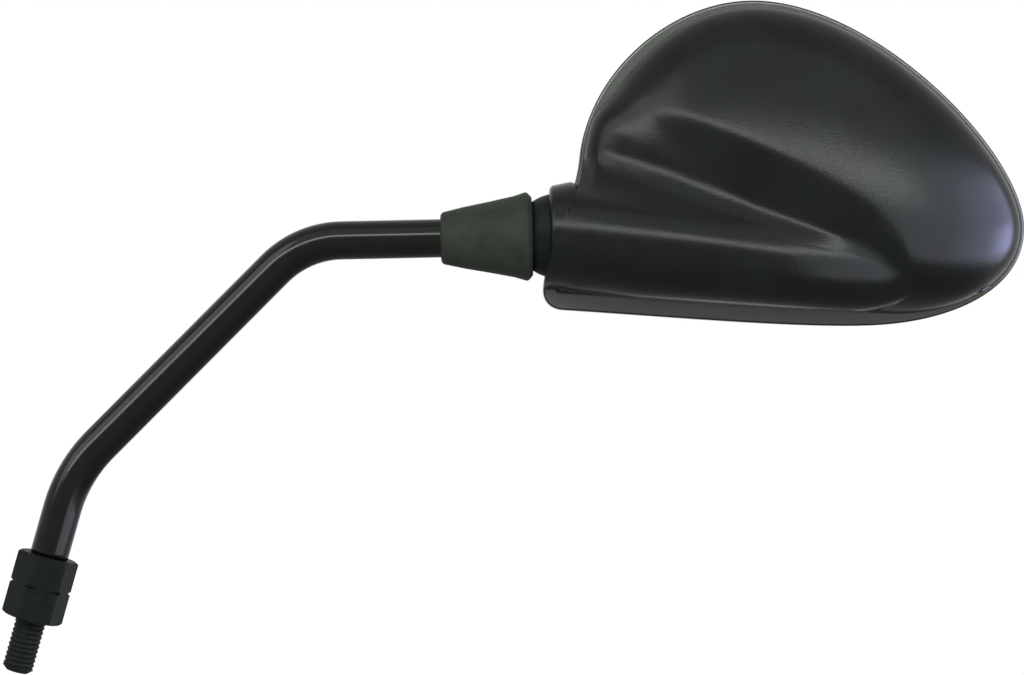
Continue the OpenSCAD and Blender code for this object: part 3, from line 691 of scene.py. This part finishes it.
def lathe(name, profile, sides=128):
    """Turns a closed profile of (radius, x) points about the head's x axis."""
    rings = []
    for radius, x in profile:
        turn = np.linspace(0, 2 * math.pi, sides, endpoint=False)
        rings.append(np.stack([np.full(sides, x), radius * np.cos(turn), radius * np.sin(turn)], 1))
    return ring_mesh(name, rings, loop=True)


# %% The collar at the neck's mouth
# It ends in a slope that dips into the neck, so no step shows there.
neck_mouth, collar_length, collar_round = 1.8, 6.8, 1.5
collar_proud, collar_flare, slope_half, slope_drop = 0.4, 0.3, 1.2, 0.8
collar_end = collar_length - neck_mouth
collar_r = neck_r - neck_taper * collar_end + collar_proud + collar_flare
mouth_at = (neck_r - collar_flare - collar_round, collar_round - neck_mouth)
collar_profile = [(nose_r + fit, -neck_mouth)] + arc(mouth_at, collar_round, -90, -10)
collar_profile += [(collar_r, collar_end - slope_half),
                   (collar_r - slope_drop, collar_end + slope_half),
                   (nose_r + fit, collar_end + slope_half)]
place("neck_collar", lathe("neck_collar", collar_profile), "head", "textured_abs")

# %% [markdown]
# ## Bezel, glass and gasket
# On the driver's side a bezel holds the convex glass in a soft gasket. All three follow the rim,
# and the glass's sphere bows them by a few tenths of a millimetre.

# %% Bezel, glass and gasket
bezel_y, bezel_wall, bezel_round, tongue = 21, 1.8, 1.6, 2.2
lip_t, lip_reach, lip_round = 1.6, 5.6, 0.8
glass_t, glass_radius, seat_gap = 2, 1200, 0.15
gasket_t, gasket_lip, gasket_round = 0.7, 1, 0.3
GLASS_RINGS, glass_first = 24, 0.004
glass_front = bezel_y - lip_t - gasket_t
glass_inset = wall + seat_gap + bezel_wall + fit + gasket_t + fit
glass_centre = np.array([(head_reach + heel[0]) / 2, (crown[1] + sole[1]) / 2])


def bow(p):
    return ((p - glass_centre) ** 2).sum(axis=1) / 2 / glass_radius


def bowed(inset, y):
    """The rim's line at that inset, bowed with the glass."""
    p = rim + inset * inward
    return at_depth(p, y - bow(p))


def bezel_mesh():
    a = wall + seat_gap
    b = a + bezel_wall
    r = bezel_round
    front = [(b, bezel_y - lip_t), (lip_reach, bezel_y - lip_t), (lip_reach, bezel_y - lip_round)]
    front += [(lip_reach - lip_round * math.sin(t), bezel_y - lip_round * (1 - math.sin(t)))
              for t in np.radians([30, 60])]
    front += [(lip_reach - lip_round, bezel_y)]
    front += [(r * (1 - math.cos(t)), bezel_y - r + r * math.sin(t))
              for t in np.radians([90, 75, 60, 45, 30, 15, 0])]
    back = [(0, seam_y + seat_gap), (a, seam_y + seat_gap),
            (a, seam_y - tongue), (b, seam_y - tongue)]
    rings = [bowed(*spot) for spot in front]
    rings += [at_depth(rim + inset * inward, y) for inset, y in back]
    return ring_mesh("bezel", rings, loop=True)


def glass_mesh():
    edge = rim + glass_inset * inward

    def layer(share, back):
        p = dome_centre + share * (edge - dome_centre)
        return at_depth(p, glass_front - back - bow(p))

    shares = np.linspace(glass_first, 1, GLASS_RINGS)
    front = [layer(share, 0) for share in shares]
    return ring_mesh("glass", front + [layer(share, glass_t) for share in shares[::-1]])


def gasket_mesh():
    a = wall + seat_gap + bezel_wall + fit
    b, c = a + gasket_t, a + gasket_t + gasket_lip
    low, seat, top = glass_front - glass_t, glass_front + fit, bezel_y - lip_t - fit
    nick = 0.3 * gasket_round  # halfway round its visible edge
    section = [(a, low), (b, low), (b, seat), (c, seat), (c, top - gasket_round),
               (c - nick, top - nick), (c - gasket_round, top), (a, top)]
    return ring_mesh("gasket", [bowed(*spot) for spot in section], loop=True)


place("bezel_frame", bezel_mesh(), "head", "textured_abs", "bezel", angle=40)
place("glass_lens", glass_mesh(), "head", "silvered_glass", "mirror_glass")
place("gasket_bead", gasket_mesh(), "head", "soft_rubber", "gasket", angle=50)

# %% The boot
boot_mouth, boot_tail, boot_mouth_r, boot_tail_r, boot_cavity_r = 6.3, 30.2, 11.5, 6.9, 9.6
boot_grip, stem_d, press = 10, 10, 0.02
tail_round, mouth_round, mouth_slope = 1.3, 1.1, 1.8
mouth_edge, mouth_face, mouth_lip = 0.12, 0.4, 0.5
cavity_draft, cavity_bend, grip_room, grip_cone = 0.4, 1, 1.2, 2
boot_flank = [(8.0, -24.2), (9.25, -17.6), (10.55, -11.2)]  # bulges a little from a straight cone
grip_r = stem_d / 2 + press
boot_profile = [(grip_r, -boot_tail)]
boot_profile += arc((boot_tail_r - tail_round, -boot_tail + tail_round), tail_round, -90, -8)
boot_profile += boot_flank
boot_profile += arc((boot_mouth_r - mouth_round, -boot_mouth - mouth_slope), mouth_round, -4, 44, 6)
boot_profile += [(boot_cavity_r + mouth_lip, -boot_mouth - mouth_edge),
                 (boot_cavity_r, -boot_mouth - mouth_face),
                 (boot_cavity_r - cavity_draft, -boot_tail / 2 + cavity_bend),
                 (stem_d / 2 + grip_room, -boot_tail + boot_grip + grip_cone),
                 (grip_r, -boot_tail + boot_grip)]
place("boot_cone", lathe("boot_cone", boot_profile), "arm", "soft_rubber", "boot")

# %% [markdown]
# ## The stem
# The rod is a round section swept along straight runs and two bends. Its gloss shows every facet,
# so it gets a finer mesh than the CAD model's, with the same radii.

# %% The stem's path
leg_1, leg_2, leg_3 = 39.6, 84.6, 66.2
bend_1, bend_1_radius = math.radians(29.2), 39
bend_2, bend_2_radius = math.radians(43.9), 25
stack_h, shank_length, pin_depth, ball_r = 16.9, 15, 2, 7
cut_1 = bend_1_radius * math.tan(bend_1 / 2)
cut_2 = bend_2_radius * math.tan(bend_2 / 2)
runs = [(leg_1 - cut_1, 0, None), (bend_1_radius * bend_1, 0, bend_1_radius),
        (leg_2 - cut_1 - cut_2, bend_1, None), (bend_2_radius * bend_2, bend_1, bend_2_radius),
        (leg_3 - cut_2, bend_1 + bend_2, None)]


def on_path(s):
    """Place on the rod's centreline at length s from the seat, and its lean from upright."""
    place_at = np.zeros(3)
    for length, lean, radius in runs:
        step = min(s, length) if (length, lean, radius) != runs[-1] else s
        if radius:
            turned = lean + step / radius
            place_at = place_at + radius * np.array(
                [math.cos(lean) - math.cos(turned), 0, math.sin(turned) - math.sin(lean)])
            lean = turned
        else:
            place_at = place_at + step * np.array([math.sin(lean), 0, math.cos(lean)])
        s -= step
        if s <= 1e-9:
            return place_at, lean
    return place_at, lean


rod_length = sum(length for length, _, _ in runs)
shank_from = rod_length - shank_length
rod_r, foot_r, shank_r, pin_r = 5, 4, 4, 3
foot_from, foot_chamfer, shoulder_step, ring_step, ball_share = 2.8, 0.5, 1, 1.1, 0.8
shoulder_at = stack_h + fit
pin_from = rod_length - ball_share * ball_r
# Length along the rod and radius there, from the threaded foot over the rounded shoulder to the pin
stem_stations = [(foot_from, foot_r - foot_chamfer), (foot_from + foot_chamfer, foot_r),
                 (shoulder_at, foot_r), (shoulder_at, rod_r - 0.4),
                 (shoulder_at + 0.15, rod_r - 0.12), (shoulder_at + 0.4, rod_r)]
stem_stations += [(s, rod_r) for s in np.arange(stack_h + 1.5, shank_from, ring_step)]
stem_stations += [(shank_from, rod_r), (shank_from + shoulder_step, shank_r), (pin_from, shank_r),
                  (pin_from, pin_r), (rod_length + pin_depth, pin_r)]


def stem_mesh(sides=72):
    """The rod as circles square to its path."""
    rings = []
    for s, r in stem_stations:
        spot, lean = on_path(s)
        across = np.array([math.cos(lean), 0, -math.sin(lean)])
        turn = np.linspace(0, 2 * math.pi, sides, endpoint=False)[:, None]
        rings.append(spot + r * (np.cos(turn) * across + np.sin(turn) * np.array([0, 1.0, 0])))
    return ring_mesh("stem_rod", rings)


place("stem_rod", stem_mesh(), "arm", "gloss_paint", "stem", in_head=False)
print("rod end:", on_path(rod_length)[0].round(3))

# %% [markdown]
# ## Hexagons and the threaded stud
# A nut's corners are turned off by a cone, which leaves the curved edges that the eye knows. Each
# ring of the body has the hexagon's own radius at every angle, cut back where the cone is lower.
# The stud's thread is a helix: the radius at each point depends on its height and angle together.

# %% Hexagon and thread
hex_af, hex_chamfer, hex_turn = 14, 0.9, math.radians(15)
adapter_h, nut_h, socket_floor = 8.6, 8.3, 2.5
stud_d, stud_length, stud_chamfer, thread_pitch, thread_depth = 8, 14.2, 1.2, 1.25, 0.3
cone_lean, cone_rise, cone_over = 0.6, 0.12, 0.2  # the cone that turns the hexagons' corners off
flank_gain, crest_flat = 1.25, 0.06  # the thread's flanks, and the flat at its crest
hole_chamfer, axis_r, thread_end = 0.4, 0.05, 0.3
HEX_SIDES = 180


def hex_rings(h):
    """Rings of a chamfered hexagon from its lower face's edge to its upper one's."""
    turn = np.linspace(0, 2 * math.pi, HEX_SIDES, endpoint=False)
    off = (turn - hex_turn) % (math.pi / 3) - math.pi / 6
    radius = hex_af / 2 / np.cos(off)
    face_r = hex_af / math.sqrt(3) - hex_chamfer
    slope = (hex_chamfer * cone_lean + cone_rise) / (hex_chamfer + cone_over)
    lost = np.maximum(0, radius - face_r) * slope
    flat = np.minimum(radius, face_r)

    def ring(r, z):
        return np.stack([r * np.cos(turn), r * np.sin(turn), z + np.zeros(HEX_SIDES)], axis=1)

    return [ring(flat, 0), ring(radius, lost), ring(radius, h - lost), ring(flat, h)]


def circle(r, z):
    turn = np.linspace(0, 2 * math.pi, HEX_SIDES, endpoint=False)
    return np.stack([r * np.cos(turn), r * np.sin(turn), z + np.zeros(HEX_SIDES)], axis=1)


def threaded(r, low, high, fade_low=1.0, fade_high=1.6):
    """Rings of a screw thread from low to high, fading into the smooth rod at both ends."""
    turn = np.linspace(0, 2 * math.pi, HEX_SIDES, endpoint=False)
    rings = []
    for z in np.arange(low, high, thread_pitch / 10):
        phase = (z / thread_pitch - turn / (2 * math.pi)) % 1
        root = np.clip(np.abs(phase - 0.5) * 2 * flank_gain - crest_flat, 0, 1)
        fade = min(1, (z - low) / fade_low, (high - z) / fade_high)
        radius = r - thread_depth * max(0, fade) * root
        rings.append(np.stack([radius * np.cos(turn), radius * np.sin(turn), z + 0 * turn], axis=1))
    return rings


def adapter_mesh():
    socket_r = stud_d / 2 + fit
    end = -stud_length
    stud = [circle(axis_r, end), circle(stud_d / 2 - stud_chamfer, end)]
    stud += threaded(stud_d / 2, end + stud_chamfer * 0.9, -thread_end, fade_low=0.4)
    stud += [circle(stud_d / 2, -0.25), circle(stud_d / 2, 0)]
    return ring_mesh("adapter_body", stud + hex_rings(adapter_h) + [
        circle(socket_r + hole_chamfer, adapter_h), circle(socket_r, adapter_h - hole_chamfer),
        circle(socket_r, socket_floor), circle(axis_r, socket_floor)])


def nut_mesh():
    bore_r = stud_d / 2 + fit
    rings = hex_rings(nut_h) + [
        circle(bore_r + hole_chamfer, nut_h), circle(bore_r, nut_h - hole_chamfer),
        circle(bore_r, hole_chamfer), circle(bore_r + hole_chamfer, 0)]
    return ring_mesh("nut_body", [r + np.array([0, 0, adapter_h]) for r in rings], loop=True)


place("adapter_body", adapter_mesh(), "mount", "black_steel", "adapter", angle=25, in_head=False)
place("nut_body", nut_mesh(), "mount", "black_steel", "lock_nut", angle=25, in_head=False)
